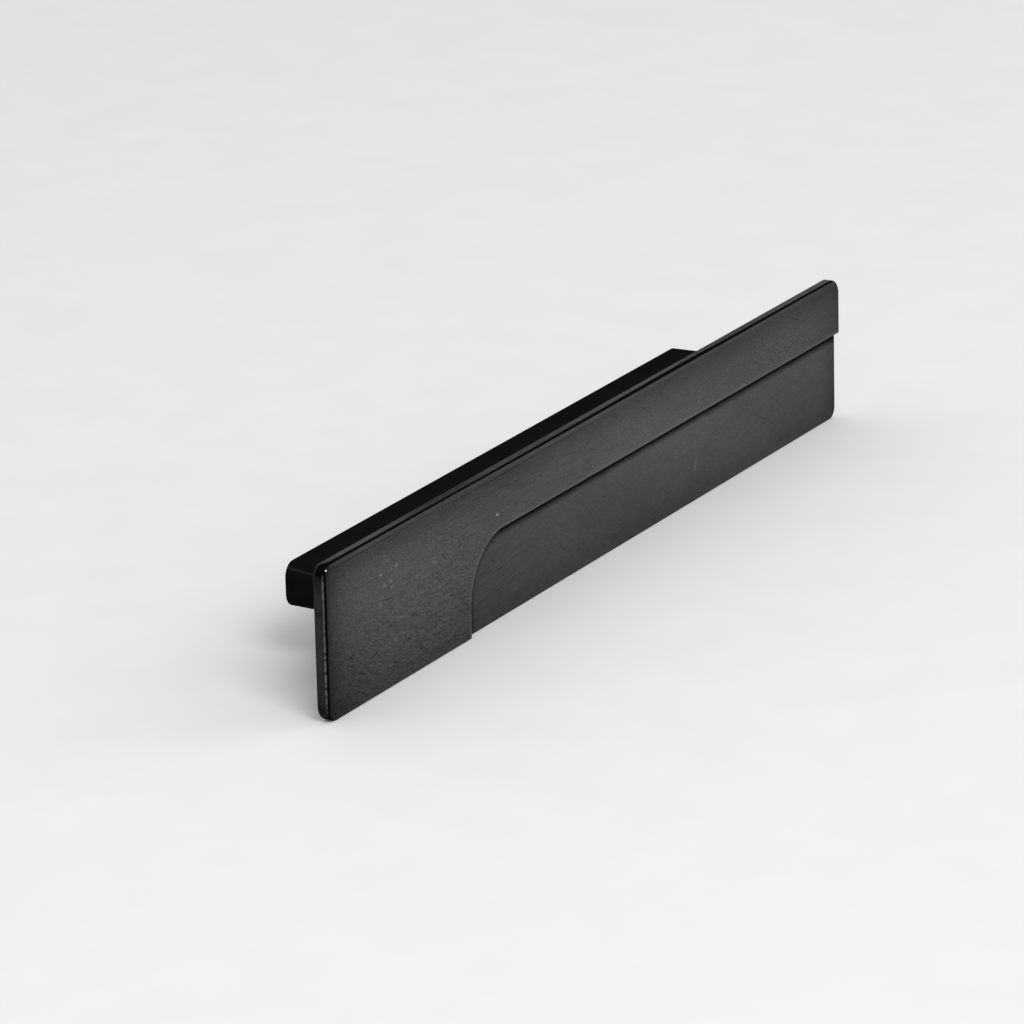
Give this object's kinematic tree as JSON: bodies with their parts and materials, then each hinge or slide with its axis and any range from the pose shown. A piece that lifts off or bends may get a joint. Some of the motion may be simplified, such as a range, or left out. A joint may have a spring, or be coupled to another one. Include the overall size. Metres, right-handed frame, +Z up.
{
  "type": "cabinet handle",
  "caption": "Flat-fronted cabinet pull: a dark satin plate with a raised band and end tab above a recessed field, on a long black base bar with tapped screw holes in its back.",
  "frame": {"origin": "on the base bar's back face, in the plane of the drawer front, midway between the screw holes and at the middle of the bar's height", "axes": "+X along the handle to the right as seen from the front, +Y into the drawer front, +Z up"},
  "size_m": [0.2, 0.0238, 0.0296],
  "materials": {
    "lacquered_casting": "satin dark grey front plate with black rims, matt black base bar"
  },
  "bodies": {
    "root": {"pull_handle": "lacquered_casting"}
  },
  "joints": []
}
